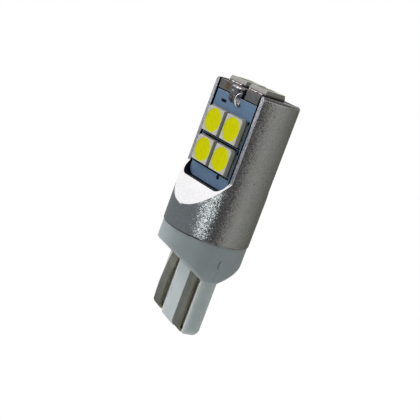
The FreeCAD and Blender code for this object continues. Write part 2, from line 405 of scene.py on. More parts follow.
class Graph:
    """A node tree with short calls for the nodes that the finishes use."""

    def __init__(self, tree: bpy.types.NodeTree) -> None:
        """Empties a node tree and keeps it."""
        self.tree = tree
        tree.nodes.clear()

    def add(self, kind: str, sockets: dict[str | int, object] | None = None, **settings: object) -> bpy.types.Node:
        """Adds a node.

        Args:
            kind: The node's type, without the words ShaderNode.
            sockets: What goes into its inputs: an output to link, or a plain value.
            settings: The node's own settings.

        Returns:
            The new node.
        """
        node = self.tree.nodes.new("ShaderNode" + kind)
        for name, value in settings.items():
            setattr(node, name, value)
        for name, value in (sockets or {}).items():
            if isinstance(value, Socket):
                self.tree.links.new(value, node.inputs[name])
            else:
                node.inputs[name].default_value = value
        return node

    def math(self, operation: str, *values: object) -> Socket:
        """Adds a Math node and gives its result."""
        return self.add("Math", dict(enumerate(values)), operation=operation).outputs[0]

    def vector(self, operation: str, *values: object) -> Socket:
        """Adds a Vector Math node and gives its vector."""
        return self.add("VectorMath", dict(enumerate(values)), operation=operation).outputs[0]

    def scaled(self, vector: object, factor: object) -> Socket:
        """Multiplies a vector or a colour by one number."""
        return self.add("VectorMath", {0: vector, "Scale": factor}, operation="SCALE").outputs[0]

    def distance(self, where: Socket, place: Point) -> Socket:
        """Gives how far a place lies from a fixed one."""
        return self.add("VectorMath", {0: where, 1: place}, operation="DISTANCE").outputs["Value"]

    def mix(self, share: object, first: object, second: object) -> Socket:
        """Mixes two colours.

        Args:
            share: How much of the second colour is taken, from 0 to 1.
            first: The first colour, as a socket or a plain colour.
            second: The second colour, in the same way.

        Returns:
            The mixed colour.
        """
        node = self.add("Mix", data_type="RGBA")
        for index, value in ((0, share), (6, first), (7, second)):
            if isinstance(value, Socket):
                self.tree.links.new(value, node.inputs[index])
            else:
                node.inputs[index].default_value = value if index == 0 else (*value, 1.0)
        return node.outputs[2]

    def spread(self, value: Socket, source: Span, result: Span) -> Socket:
        """Maps a value from one range to another, held at both ends."""
        limits = {"Value": value, "From Min": source[0], "From Max": source[1], "To Min": result[0],
                  "To Max": result[1]}
        return self.add("MapRange", limits).outputs[0]

    def ramp(self, value: Socket, stops: Sequence[tuple[float, Colour]]) -> Socket:
        """Maps a value to colours.

        Args:
            value: The value, from 0 to 1.
            stops: The colours, each with the value that it stands at.

        Returns:
            The colour.
        """
        node = self.add("ValToRGB", {0: value})
        elements = node.color_ramp.elements
        while len(elements) < len(stops):
            elements.new(1.0)
        for element, (place, colour) in zip(elements, stops):
            element.position = place
            element.color = (*colour, 1.0)
        return node.outputs[0]

    def place(self, turn: float = 0.0) -> Socket:
        """Gives the place on the piece, in millimetres, turned about the bulb's axis."""
        where = self.add("TexCoord").outputs["Object"]
        return self.scaled(self.add("Mapping", {"Vector": where, "Rotation": (0.0, 0.0, turn)}).outputs[0], 1 / MM)

    def noise(self, where: Socket, size: float, detail: float) -> Socket:
        """Gives soft noise whose spots are about a size across, in the units of the place."""
        return self.add("TexNoise", {"Vector": where, "Scale": 1 / size, "Detail": detail}).outputs["Fac"]

    def bump(self, height: Socket, depth: float) -> Socket:
        """Gives a surface direction bent by a relief with a depth in millimetres."""
        return self.add("Bump", {"Height": height, "Strength": 1.0, "Distance": depth * MM}).outputs[0]

    def surface(self, shader: Socket) -> None:
        """Ends the tree with its output."""
        self.add("OutputMaterial", {"Surface": shader})

    def principled(self, sockets: dict[str, object]) -> None:
        """Ends the tree with a Principled shader and its output."""
        self.surface(self.add("BsdfPrincipled", sockets).outputs[0])


def new_material(name: str) -> tuple[Material, Graph]:
    """Starts a material.

    Args:
        name: Its name.

    Returns:
        The material and its empty graph.
    """
    material = bpy.data.materials.new(name)
    material.use_nodes = True
    return material, Graph(material.node_tree)


@dataclass(frozen=True)
class BlastedAluminium:
    """Bead blasted aluminium: fine tilted grains that glitter, with a few dark pits on the round wall."""

    name: str
    tone: Colour
    roughness: float = 0.17
    grain: float = 0.058
    tilt: float = 0.32
    wear: float = 0.14
    pits: tuple[Point, ...] = ()
    pit_radius: float = 5.0
    pit_tone: float = 0.35
    cloud: float = 3.0
    cloud_tones: Span = (0.97, 1.03)

    def build(self, turn: float) -> Material:
        """Builds the material.

        Args:
            turn: The head's turn on the base, which the pits follow.

        Returns:
            The material, for some faces of the housing.
        """
        material, graph = new_material(self.name)
        where = graph.place(-turn)
        grains = graph.add("TexVoronoi", {"Vector": where, "Scale": 1 / self.grain}).outputs["Color"]
        lean = graph.scaled(graph.vector("SUBTRACT", grains, (0.5, 0.5, 0.5)), self.tilt)
        normal = graph.add("NewGeometry").outputs["Normal"]
        normal = graph.vector("NORMALIZE", graph.vector("ADD", normal, lean))
        own = graph.add("SeparateColor", {"Color": grains}).outputs[0]
        worn = graph.spread(graph.noise(where, self.cloud, 3.0), NOISE_CORE, self.cloud_tones)
        worn = graph.math("MULTIPLY", worn, graph.spread(own, UNIT, around(1.0, self.wear, self.wear)))
        for azimuth, height, size in self.pits:
            angle = math.radians(azimuth)
            pit = (self.pit_radius * math.sin(angle), -self.pit_radius * math.cos(angle), height)
            dark = graph.spread(graph.distance(where, pit), (size * 0.5, size), (self.pit_tone, 1.0))
            worn = graph.math("MULTIPLY", worn, dark)
        graph.principled({"Base Color": graph.scaled(self.tone, worn), "Metallic": 1.0,
                          "Roughness": graph.spread(own, UNIT, around(self.roughness, 0.05, 0.08)),
                          "Normal": normal})
        return material


@dataclass(frozen=True)
class MouldedPlastic:
    """Moulded plastic with a faint mottle and a soft sheen. Milky plastic scatters light inside, by a length."""

    name: str
    tone: Colour
    roughness: float = 0.42
    mottle: float = 0.05
    spot: float = 1.6
    skin: float = 0.12
    bump: float = 0.02
    milky: float = 0.0
    gloss: float = 0.5

    def build(self) -> Material:
        """Builds the material.

        Returns:
            The material, for any piece of this plastic.
        """
        material, graph = new_material(self.name)
        where = graph.place()
        tones = around(1.0, self.mottle, self.mottle)
        cloud = graph.spread(graph.noise(where, self.spot, 3.0), (0.3, 0.7), tones)
        sockets = {"Base Color": graph.scaled(self.tone, cloud),
                   "Roughness": graph.spread(cloud, tones, around(self.roughness, 0.05, 0.05)),
                   "Specular IOR Level": self.gloss,
                   "Normal": graph.bump(graph.noise(where, self.skin, 2.0), self.bump)}
        if self.milky:
            sockets |= {"Subsurface Weight": 1.0, "Subsurface Radius": (1.0, 1.0, 1.0),
                        "Subsurface Scale": self.milky * MM}
        graph.principled(sockets)
        return material


@dataclass(frozen=True)
class DullMetal:
    """Plated or bare metal with long rolling streaks and stains."""

    name: str
    tone: Colour
    stain: Colour
    roughness: float = 0.45
    streak: Point = (0.25, 0.25, 3.0)
    cloud: float = 1.1
    bump: float = 0.01

    def build(self) -> Material:
        """Builds the material.

        Returns:
            The material, for any piece of this metal.
        """
        material, graph = new_material(self.name)
        where = graph.place()
        lines = graph.noise(graph.vector("DIVIDE", where, self.streak), 1.0, 4.0)
        stains = graph.spread(graph.noise(where, self.cloud, 4.0), (0.30, 0.65), (0.2, 1.0))
        share = graph.math("MULTIPLY", graph.spread(lines, NOISE_CORE, UNIT), stains)
        graph.principled({"Base Color": graph.mix(share, self.tone, self.stain), "Metallic": 1.0,
                          "Roughness": graph.spread(lines, (0.3, 0.7), around(self.roughness, 0.08, 0.10)),
                          "Normal": graph.bump(lines, self.bump)})
        return material


@dataclass(frozen=True)
class Phosphor:
    """Yellow phosphor in clear silicone. Four faint bond spots show through it, placed by the UV map."""

    tone: Colour = (0.61, 0.625, 0.0)
    deep: Colour = (0.58, 0.592, 0.0)
    cloud: float = 0.5
    spot_tone: Colour = (0.40, 0.38, 0.01)
    spots: tuple[Span, ...] = ((-0.07, 0.42), (0.20, 0.27), (-0.24, -0.22), (0.04, -0.36))
    spot_size: float = 0.075
    spot_core: float = 0.4
    spot_strength: float = 0.8
    roughness: float = 0.3
    refraction: float = 1.41
    gloss: float = 0.03

    def build(self) -> Material:
        """Builds the material.

        Returns:
            The material, for every fill.
        """
        material, graph = new_material("phosphor_fill")
        where = graph.add("UVMap", uv_map=LED_MAP).outputs[0]
        shade = 0.0
        for x, y in self.spots:
            away = graph.distance(where, (x, y, 0.0))
            spot = graph.spread(away, (self.spot_size * self.spot_core, self.spot_size), (1.0, 0.0))
            shade = graph.math("MAXIMUM", spot, shade)
        cloud = graph.spread(graph.noise(graph.place(), self.cloud, 3.0), NOISE_CORE, UNIT)
        tone = graph.mix(cloud, self.tone, self.deep)
        tone = graph.mix(graph.math("MULTIPLY", shade, self.spot_strength), tone, self.spot_tone)
        graph.principled({"Base Color": tone, "Roughness": self.roughness, "IOR": self.refraction,
                          "Specular IOR Level": self.gloss})
        return material


@dataclass(frozen=True)
class SolderMask:
    """Slate blue solder mask with a faint cloud and a thin gloss over it."""

    tone: Colour = (0.084, 0.158, 0.270)
    pale: Colour = (0.102, 0.183, 0.305)
    cloud: float = 1.3
    skin: float = 0.10
    bump: float = 0.006
    roughness: float = 0.33
    coat: float = 0.25
    coat_roughness: float = 0.2

    def build(self) -> Material:
        """Builds the material.

        Returns:
            The material, for the side boards.
        """
        material, graph = new_material("board_mask")
        where = graph.place()
        cloud = graph.spread(graph.noise(where, self.cloud, 4.0), (0.35, 0.68), UNIT)
        graph.principled({"Base Color": graph.mix(cloud, self.tone, self.pale), "Roughness": self.roughness,
                          "Normal": graph.bump(graph.noise(where, self.skin, 2.0), self.bump),
                          "Coat Weight": self.coat, "Coat Roughness": self.coat_roughness})
        return material


@dataclass(frozen=True)
class BrightSolder:
    """Reflowed solder: bright metal with a soft ripple and a dull skin in places."""

    name: str
    tone: Colour
    dull: Colour
    roughness: Span
    ripple: float = 0.38
    bump: float = 0.018

    def build(self) -> Material:
        """Builds the material.

        Returns:
            The material, for some faces of the solder joints.
        """
        material, graph = new_material(self.name)
        waves = graph.noise(graph.place(), self.ripple, 3.0)
        share = graph.spread(waves, (0.34, 0.56), UNIT)
        graph.principled({"Base Color": graph.mix(share, self.tone, self.dull), "Metallic": 1.0,
                          "Roughness": graph.spread(share, UNIT, self.roughness),
                          "Normal": graph.bump(waves, self.bump)})
        return material


@dataclass(frozen=True)
class EdgeRound:
    """How sharp edges are rounded, in millimetres and degrees."""

    width: float
    segments: int = 2
    angle: float = 28.0


class Workshop:
    def __init__(self, frame: dict, head: Head) -> None:
        """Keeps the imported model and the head's frame.

        Args:
            head: The head's frame.
        """
        self.nodes: dict[str, bpy.types.Object] = frame["nodes"]
        self.head = head
        self.slots = {row["node"]: row["material_slot"] for row in frame["record"]["subparts"]}

    def finish_piece(self, name: str, bm: Mesh, materials: Sequence[Material], slot: str,
                     replaced: Sequence[str] = (), smooth: float = 35.0) -> None:
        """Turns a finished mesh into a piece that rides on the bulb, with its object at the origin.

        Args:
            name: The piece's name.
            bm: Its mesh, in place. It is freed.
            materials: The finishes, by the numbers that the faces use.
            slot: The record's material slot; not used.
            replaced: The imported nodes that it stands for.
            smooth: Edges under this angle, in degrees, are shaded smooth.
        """
        for face in bm.faces:
            face.smooth = True
        piece = new_object(name, bm)
        for material in materials:
            piece.data.materials.append(material)
        piece.data.set_sharp_from_angle(angle=math.radians(smooth))
        weighted = piece.modifiers.new("weighted_normals", "WEIGHTED_NORMAL")
        weighted.keep_sharp = True
        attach(piece, ROOT)
        if replaced:
            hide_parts(*replaced)
        LOG.info("piece %s, %d faces", name, len(piece.data.polygons))

    def finish_native(self, name: str, bm: Mesh, side: Side, materials: Sequence[Material], slot: str,
                      replaced: Sequence[str] = (), smooth: float = 35.0) -> None:
        """Places a mesh that was built in millimetres on one side of the head, and makes it a piece."""
        self.head.place(bm, side)
        self.finish_piece(name, bm, materials, slot, replaced, smooth)

    def solid_copy(self, node: str) -> Mesh:
        """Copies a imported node's mesh and joins its loose triangles into flat faces.

        Args:
            node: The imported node.

        Returns:
            The copy, in place.
        """
        bm = bmesh.new()
        bm.from_mesh(self.nodes[node].data)
        bmesh.ops.remove_doubles(bm, verts=bm.verts, dist=0.0004 * MM)
        bmesh.ops.dissolve_limit(bm, angle_limit=math.radians(0.4), verts=bm.verts, edges=bm.edges)
        return bm

    def rounded(self, node: str, edge: EdgeRound, materials: Sequence[Material],
                pick: Callable[[Face], int] | None = None, shape: Callable[[Mesh], None] | None = None) -> None:
        """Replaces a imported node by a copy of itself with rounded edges.

        Args:
            node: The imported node.
            edge: The rounding of its sharp edges.
            materials: The finishes.
            pick: Gives the number of a face's finish, or all faces have the first.
            shape: Changes the copy before its edges are rounded.
        """
        bm = self.solid_copy(node)
        if shape:
            shape(bm)
        if pick:
            bm.normal_update()
            for face in bm.faces:
                face.material_index = pick(face)
        rounded_edges(bm, sharp_edges(bm, edge.angle), edge.width * MM, edge.segments)
        self.finish_piece(f"{node}_finished", bm, materials, self.slots[node], (node,))

    def dress(self, node: str, material: Material) -> None:
        """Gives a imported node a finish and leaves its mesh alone."""
        for slot in self.nodes[node].material_slots:
            slot.material = material


@dataclass(frozen=True)
class Softbox:
    """A rectangular lamp that faces the bulb, by its size in millimetres and how bright its face looks."""

    name: str
    azimuth: float
    elevation: float
    distance: float
    size: Span
    radiance: float
    tint: Colour


@dataclass(frozen=True)
class Studio:
    """The floor, the lamps, the reflector cards, the background and the camera."""

    head: Head
    floor_height: float = -60.0
    floor_radius: float = 4000.0
    floor_tone: Colour = (0.92, 0.92, 0.92)
    floor_glow: float = 1.01
    floor_glow_share: float = 0.98
    background: Colour = (1.0, 1.0, 1.0)
    ambient: Colour = (0.40, 0.40, 0.385)
    lens: float = 83.29
    sensor: float = 36.0
    nearest: float = 0.001
    camera_distance: float = 107.22
    camera_azimuth: float = 49.15
    camera_elevation: float = 11.43
    camera_roll: float = 20.37
    target: Point = (-0.271, -0.314, 6.666)
    lamp_target: Point = (0.0, 0.0, 7.0)
    lamps: tuple[Softbox, ...] = (
        Softbox("upper_left_softbox", azimuth=-58.0, elevation=29.0, distance=300.0, size=(260.0, 220.0),
                radiance=4.45, tint=(1.0, 0.95, 0.965)),
        Softbox("strip_lamp", azimuth=37.0, elevation=-4.0, distance=104.0, size=(25.0, 50.0),
                radiance=1.95, tint=(0.85, 1.0, 1.0)))
    ring_radius: float = 90.0
    ring_foot: float = -29.0
    ring_parts: tuple[Point, ...] = ((46.0, 180.0, 46.0), (180.0, 388.0, 31.0))
    card_tones: tuple[tuple[float, Colour], ...] = (
        (-180.0, (0.215, 0.225, 0.195)), (-165.0, (0.165, 0.175, 0.150)), (-130.0, (0.23, 0.24, 0.22)),
        (-90.0, (0.30, 0.33, 0.355)), (0.0, (0.29, 0.325, 0.350)), (24.0, (0.27, 0.30, 0.32)),
        (50.0, (0.19, 0.195, 0.21)), (62.0, (0.13, 0.127, 0.135)), (76.0, (0.06, 0.055, 0.055)),
        (88.0, (0.27, 0.26, 0.25)), (98.0, (0.45, 0.45, 0.43)), (112.0, (0.53, 0.53, 0.50)),
        (125.0, (0.49, 0.50, 0.465)), (140.0, (0.41, 0.42, 0.385)), (160.0, (0.32, 0.325, 0.29)),
        (180.0, (0.215, 0.225, 0.195)))

    def aim(self, thing: bpy.types.Object, angles: Span, distance: float, target: Vector,
            roll: float = 0.0) -> None:
        """Puts a lamp or the camera before a target and points it there.

        Args:
            thing: The lamp or the camera.
            angles: The azimuth and the elevation that it stands at, in degrees.
            distance: How far it stands from the target, in millimetres.
            target: The target, in metres.
            roll: Its turn about its own line of sight, in degrees.
        """
        back = self.head.direction(*angles)
        thing.location = target + back * distance * MM
        turned = (-back).to_track_quat("-Z", "Y").to_matrix() @ Matrix.Rotation(math.radians(roll), 3, "Z")
        thing.rotation_euler = turned.to_euler()
        bpy.context.scene.collection.objects.link(thing)

    def add_camera(self) -> None:
        """Adds the camera at the photograph's angle."""
        data = bpy.data.cameras.new("camera")
        data.lens = self.lens
        data.sensor_width = self.sensor
        data.clip_start = self.nearest
        camera = bpy.data.objects.new("camera", data)
        target = Matrix.Rotation(self.head.turn, 3, "Z") @ Vector(self.target) * MM
        angles = (self.camera_azimuth, self.camera_elevation)
        self.aim(camera, angles, self.camera_distance, target, self.camera_roll)
        bpy.context.scene.camera = camera

    def add_lamp(self, lamp: Softbox) -> None:
        """Adds a lamp whose power follows from its size and from how bright its face looks.

        Args:
            lamp: The lamp.
        """
        data = bpy.data.lights.new(lamp.name, "AREA")
        data.shape = "RECTANGLE"
        data.size = lamp.size[0] * MM
        data.size_y = lamp.size[1] * MM
        data.energy = lamp.radiance * math.pi * data.size * data.size_y
        data.color = lamp.tint
        self.aim(bpy.data.objects.new(lamp.name, data), (lamp.azimuth, lamp.elevation), lamp.distance,
                 Vector(self.lamp_target) * MM)

    def card_mesh(self) -> Mesh:
        """Makes the ring of cards, with a gap for the strip lamp, and the tray under it.

        Returns:
            The mesh, in metres.
        """
        bm = bmesh.new()
        for first, last, top in self.ring_parts:
            start = self.head.direction(first) * self.ring_radius * MM
            ends = [bm.verts.new(start + Vector((0, 0, height * MM))) for height in (self.ring_foot, top)]
            bmesh.ops.spin(bm, geom=[bm.edges.new(ends), *ends], cent=(0, 0, 0), axis=(0, 0, 1), steps=24,
                           angle=math.radians(last - first), use_merge=False, use_duplicate=False)
        tray = bmesh.ops.create_circle(bm, cap_ends=True, segments=64, radius=self.ring_radius * MM)["verts"]
        bmesh.ops.translate(bm, verts=tray, vec=(0, 0, self.ring_foot * MM))
        return bm

    def add_cards(self) -> None:
        """Adds the graded cards, which only reflections see."""
        material, graph = new_material("graded_card")
        place = graph.add("SeparateXYZ", {0: graph.place(-self.head.turn)}).outputs
        azimuth = graph.math("ARCTAN2", place["X"], graph.math("MULTIPLY", place["Y"], -1.0))
        share = graph.spread(azimuth, (-math.pi, math.pi), UNIT)
        stops = [(0.5 + degrees / 360.0, colour) for degrees, colour in self.card_tones]
        graph.surface(graph.add("Emission", {"Color": graph.ramp(share, stops)}).outputs[0])
        cards = new_object("cards", self.card_mesh())
        cards.data.materials.append(material)
        cards.visible_camera = False
        cards.visible_diffuse = False
        cards.visible_shadow = False
        cards.visible_transmission = False

    def seen_share(self, graph: Graph) -> Socket:
        """Tells the rays that look at things from those that light them.

        Args:
            graph: The tree that asks.

        Returns:
            1 on camera, glossy and transmission rays, and 0 on the rest.
        """
        path = graph.add("LightPath").outputs
        seen = graph.math("MAXIMUM", path["Is Camera Ray"], path["Is Glossy Ray"])
        return graph.math("MAXIMUM", seen, path["Is Transmission Ray"])

    def add_floor(self) -> None:
        """Adds the pale floor, which looks white and keeps a trace of the bulb's shadow."""
        bm = bmesh.new()
        bmesh.ops.create_circle(bm, cap_ends=True, segments=96, radius=self.floor_radius * MM)
        bmesh.ops.translate(bm, verts=bm.verts, vec=(0, 0, self.floor_height * MM))
        material, graph = new_material("pale_floor")
        matt = graph.add("BsdfDiffuse", {"Color": (*self.floor_tone, 1.0)}).outputs[0]
        glow = {"Color": (*self.background, 1.0), "Strength": self.floor_glow}
        white = graph.add("Emission", glow).outputs[0]
        share = graph.math("MULTIPLY", self.seen_share(graph), self.floor_glow_share)
        graph.surface(graph.add("MixShader", {0: share, 1: matt, 2: white}).outputs[0])
        floor = new_object("floor", bm)
        floor.data.materials.append(material)

    def add_world(self) -> None:
        """Sets a background that looks white and lights the bulb softly."""
        world = bpy.data.worlds.new("white_room")
        world.use_nodes = True
        graph = Graph(world.node_tree)
        tone = graph.mix(self.seen_share(graph), self.ambient, self.background)
        shader = graph.add("Background", {"Color": tone}).outputs[0]
        graph.add("OutputWorld", {"Surface": shader})
        bpy.context.scene.world = world

    def build(self) -> None:
        """Sets up the whole studio."""
        scene = bpy.context.scene
        scene.view_settings.view_transform = "Standard"
        self.add_camera()
        self.add_world()
        self.add_floor()
        self.add_cards()
        for lamp in self.lamps:
            self.add_lamp(lamp)
        LOG.info("studio ready")


@dataclass(frozen=True)
class WedgeBase:
    """The plastic base and its two contact strips.

    The rounding of the base's edges comes out under a thousandth of a millimetre wide, so they stay as packed.
    """

    shop: Workshop
    # painted light: collar and blade are one nylon; the blade's lighter tone is painted glow of light through the
    # thin plastic
    collar_nylon: MouldedPlastic = MouldedPlastic("collar_nylon", (0.335, 0.378, 0.398), roughness=0.40,
                                                  mottle=0.04, milky=1.2)
    blade_nylon: MouldedPlastic = MouldedPlastic("blade_nylon", (0.475, 0.53, 0.54), roughness=0.40,
                                                 mottle=0.04, milky=1.2)
    # painted light: the channel faces get an olive tone as a painted reflection of the brass strips, with a
    # brightness set for the glow and shade there
    channel_nylon: MouldedPlastic = MouldedPlastic("channel_nylon", (0.50, 0.49, 0.43), roughness=0.45,
                                                   mottle=0.05, milky=1.2)
    nickel: DullMetal = DullMetal("dull_nickel", (0.33, 0.325, 0.28), (0.16, 0.155, 0.12))
    brass: DullMetal = DullMetal("cut_brass", (0.36, 0.34, 0.25), (0.20, 0.185, 0.12), streak=(1.0, 1.0, 2.5))
    black_hair: MouldedPlastic = MouldedPlastic("hair", (0.03, 0.03, 0.032), roughness=0.6, mottle=0.1, spot=0.4)
    strip_edge: EdgeRound = EdgeRound(0.03)
    base_edge: EdgeRound = EdgeRound(0.15, 3)
    shoulder_slack: float = 0.05
    channel_reach: Span = (1.61, 4.44)
    channel_face: float = 0.98
    spigot_radius: float = 4.3
    collar_growth: float = 1.014
    hair_radius: float = 4.93
    hair_thickness: float = 0.05
    hair_facets: int = 8
    hair_path: tuple[Span, ...] = ((81.6, 2.66), (80.9, 2.50), (79.9, 2.30), (79.5, 2.10), (79.9, 1.90),
                                   (81.2, 1.66))

    def build(self) -> None:
        """Dresses the base and rounds the strips, with bare brass on their cut edges."""
        nylon = [self.collar_nylon.build(), self.blade_nylon.build(), self.channel_nylon.build()]
        self.shop.rounded("holder", self.base_edge, nylon, self.nylon_of, self.widen_collar)
        strip = [self.nickel.build(), self.brass.build()]
        for node in ("contact_left", "contact_right"):
            self.shop.rounded(node, self.strip_edge, strip, self.strip_of)
        self.add_hair()

    def widen_collar(self, bm: Mesh) -> None:
        """Widens the collar to just under the housing, as it stands in the photograph.

        Args:
            bm: The base's mesh, in metres.
        """
        for vert in bm.verts:
            if vert.co.z > 0 and vert.co.xy.length > self.spigot_radius * MM:
                vert.co.xy *= self.collar_growth

    def nylon_of(self, face: Face) -> Nylon:
        """Finds the tone of one of the base's faces.

        Args:
            face: The face.

        Returns:
            The tone of the collar, the thin blade with its painted glow, or the channels behind the strips with
            their painted light.
        """
        middle = face.calc_center_median() / MM
        # the collar keeps the plain tone; the blade's faces below it get the painted glow
        if middle.z > -self.shoulder_slack and abs(face.normal.z) < 0.95:
            return Nylon.COLLAR
        # painted light: faces sunk between the strips and the lips take the channel tone
        across = self.channel_reach[0] < abs(middle.x) < self.channel_reach[1]
        sunk = abs(middle.y) < self.channel_face and abs(face.normal.z) < 0.9
        return Nylon.CHANNEL if across and sunk else Nylon.BLADE

    def strip_of(self, face: Face) -> Strip:
        """Finds the finish of one of a contact strip's faces, by whether it looks to the side."""
        return Strip.CUT_EDGE if abs(face.normal.x) > 0.8 else Strip.PLATING

    def add_hair(self) -> None:
        """Adds the short dark hair that lies on the collar."""
        bm = bmesh.new()
        rings = []
        for azimuth, height in self.hair_path:
            middle = self.shop.head.direction(azimuth) * self.hair_radius + Vector((0, 0, height))
            at_end = len(rings) in (0, len(self.hair_path) - 1)
            ring = bmesh.ops.create_circle(bm, cap_ends=at_end, segments=self.hair_facets,
                                           radius=self.hair_thickness / 2)["verts"]
            bmesh.ops.translate(bm, verts=ring, vec=middle)
            rings.append(list(dict.fromkeys(edge for vert in ring for edge in vert.link_edges)))
        for lower, upper in zip(rings, rings[1:]):
            bmesh.ops.bridge_loops(bm, edges=[*lower, *upper])
        bmesh.ops.recalc_face_normals(bm, faces=bm.faces)
        bmesh.ops.scale(bm, verts=bm.verts, vec=(MM, MM, MM))
        self.shop.finish_piece("hair", bm, (self.black_hair.build(),), "base_plastic")


@dataclass(frozen=True)
class Housing:
    """The blasted aluminium housing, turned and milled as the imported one, with its two rims broken.

    The rounding of its milled edges comes out with almost no width, so those edges stay sharp.
    """

    shop: Workshop
    facets: int = 160
    rim_radius: float = 0.36
    rim_steps: int = 5
    foot_chamfer: float = 0.12
    flat_depths: Span = (2.45, 1.95)
    horn_cuts: Span = (0.06, 0.22)
    ramp_over_pocket: float = 1.4
    ramp_angle: float = 31.7
    pocket_depth: float = 1.0
    pocket_gap: float = 0.3
    foot_gap: float = 0.1
    corner_radius: float = 1.15
    corner_steps: int = 10
    bore_wall: float = 0.9
    bore_depth: float = 2.4
    bore_facets: int = 96
    sleeve_radius: float = 0.45
    sleeve_facets: int = 24
    driver_gap: Point = (0.2, 0.2, 0.1)
    weld: float = 0.002
    edge: EdgeRound = EdgeRound(0.06, 2, 24.0)
    ring_step: float = 0.83
    pits: tuple[Point, ...] = ((86.0, 11.68, 0.10), (78.8, 19.09, 0.10), (96.3, 12.52, 0.07), (86.0, 15.59, 0.07),
                               (71.0, 8.3, 0.07), (104.0, 17.2, 0.06))

    def finishes(self) -> list[Material]:
        """Builds the finishes.

        Returns:
            The materials, in the order of Blasted.
        """
        blasted = (BlastedAluminium("blasted_wall", (0.40, 0.40, 0.40), pits=self.pits),
                   BlastedAluminium("blasted_flat", (0.40, 0.405, 0.43), roughness=0.42, wear=0.30),
                   BlastedAluminium("blasted_ramp", (0.187, 0.192, 0.1925), roughness=0.30, tilt=0.16, wear=0.16),
                   # painted shade: the pocket is a near-black copy of the aluminium, for the shade in the recess
                   BlastedAluminium("shaded_pocket", (0.030, 0.032, 0.038), roughness=0.5),
                   # painted shade: the top rim is a dark copy of the aluminium, so its upward faces look shaded
                   BlastedAluminium("top_rim", (0.078, 0.075, 0.072), roughness=0.3))
        return [finish.build(self.shop.head.turn) for finish in blasted]

    def turned_body(self, radius: float, foot: float, top: float) -> Mesh:
        """Turns the round body, breaks its rims and cuts its wall into rings, so that its facets stay short.

        Args:
            radius: The body's radius.
            foot: The height of its foot.
            top: The height of its top.

        Returns:
            The closed body.
        """
        body = drum((radius, radius), (foot, top), self.facets)
        top_rim = [edge for edge in sharp_edges(body, 60.0) if edge.verts[0].co.z > top - TOUCHING]
        rounded_edges(body, top_rim, self.rim_radius, self.rim_steps)
        foot_rim = [edge for edge in sharp_edges(body, 60.0) if edge.verts[0].co.z < foot + TOUCHING]
        rounded_edges(body, foot_rim, self.foot_chamfer, 1)
        rings = math.ceil((top - foot) / self.ring_step)
        for ring in range(1, rings):
            height = foot + (top - foot) * ring / rings
            bmesh.ops.bisect_plane(body, geom=[*body.verts, *body.edges, *body.faces], dist=TOUCHING,
                                   plane_co=(0, 0, height), plane_no=(0, 0, 1))
        return body

    def flat_tool(self, side: Side, flat: float, heights: Span, cut: float, reach: float) -> Mesh:
        """Makes the mill's path for a flat and its ramp, which also cuts the flat's upper corner straight.

        Args:
            side: The side of the head.
            flat: The flat's distance from the axis.
            heights: Where the ramp starts, and the housing's top.
            cut: The width of the cut at the upper corner.
            reach: How far the tool goes beyond the housing.

        Returns:
            The closed tool, turned to its side.
        """
        foot, top = heights
        drop = (reach - flat) / math.tan(math.radians(self.ramp_angle))
        corners = ((flat, foot), (flat, top - cut), (flat - 2 * cut, top + cut), (reach, top + cut),
                   (reach, foot - drop))
        bm = prism([(-reach, -front, height) for front, height in corners], (2 * reach, 0, 0))
        rotate(bm, side.value)
        return bm

    def pocket_tool(self, side: Side, half: float, floor: float, foot: float, reach: float) -> Mesh:
        """Makes the tool for a board's pocket, whose two lower corners are round.

        Args:
            side: The side of the head.
            half: Half the pocket's width.
            floor: The distance of its floor from the axis.
            foot: The height of its lower wall.
            reach: How far the tool goes beyond the housing.

        Returns:
            The closed tool, turned to its side.
        """
        bm = block((-half, -reach, foot), (half, -floor, foot + reach))
        lower = [edge for edge in bm.edges if all(abs(vert.co.z - foot) < TOUCHING for vert in edge.verts)
                 and abs(edge.verts[0].co.x - edge.verts[1].co.x) < TOUCHING]
        rounded_edges(bm, lower, self.corner_radius, self.corner_steps)
        rotate(bm, side.value)
        return bm

    def sleeve_tool(self, side: Side, reach: float) -> Mesh:
        """Makes the drill for a lead's hole.

        Args:
            side: The side of the head.
            reach: How far the drill goes from the axis.

        Returns:
            The closed drill, turned to its side.
        """
        low, high = self.shop.head.span(f"{side.word}_lead", side)
        bm = drum((self.sleeve_radius, self.sleeve_radius), (0.0, reach), self.sleeve_facets)
        rotate(bm, math.pi / 2, "X")
        bmesh.ops.translate(bm, verts=bm.verts, vec=((low.x + high.x) / 2, 0, (low.z + high.z) / 2))
        rotate(bm, side.value)
        return bm

    def tools(self, radius: float, foot: float, top: float, seat: float) -> list[Mesh]:
        """Makes everything that is cut out of the round body.

        Args:
            radius: The body's radius.
            foot: The height of its foot.
            top: The height of its top.
            seat: Half the width of the top board's seat.

        Returns:
            The closed tools, in the order of the cuts.
        """
        head = self.shop.head
        reach = 4 * radius
        tools = []
        for side, depth, cut in zip(Side, self.flat_depths, self.horn_cuts):
            board_low, board_high = head.span(f"{side.word}_board", side)
            flat = radius - depth
            pocket_foot = board_low.z - self.foot_gap
            half = board_high.x + self.pocket_gap
            tools += [self.flat_tool(side, flat, (pocket_foot + self.ramp_over_pocket, top), cut, reach),
                      self.pocket_tool(side, half, flat - self.pocket_depth, pocket_foot, reach),
                      self.sleeve_tool(side, reach)]
        bore = radius - self.bore_wall
        slot = head.span("driver_board")[1] + Vector(self.driver_gap)
        return [*tools, block((-seat, -reach, head.span("top_board")[0].z), (seat, reach, top + 1)),
                drum((bore, bore), (foot - 1, foot + self.bore_depth), self.bore_facets),
                block((-slot.x, -slot.y, foot), slot)]

    def finish_of(self, face: Face, radius: float, seat: float, top: float) -> Blasted:
        """Finds the finish of one of the housing's faces.

        Args:
            face: The face.
            radius: The housing's radius.
            seat: Half the width of the top board's seat.
            top: The height of the housing's top.

        Returns:
            The finish.
        """
        middle = face.calc_center_median()
        square = abs(face.normal.y)
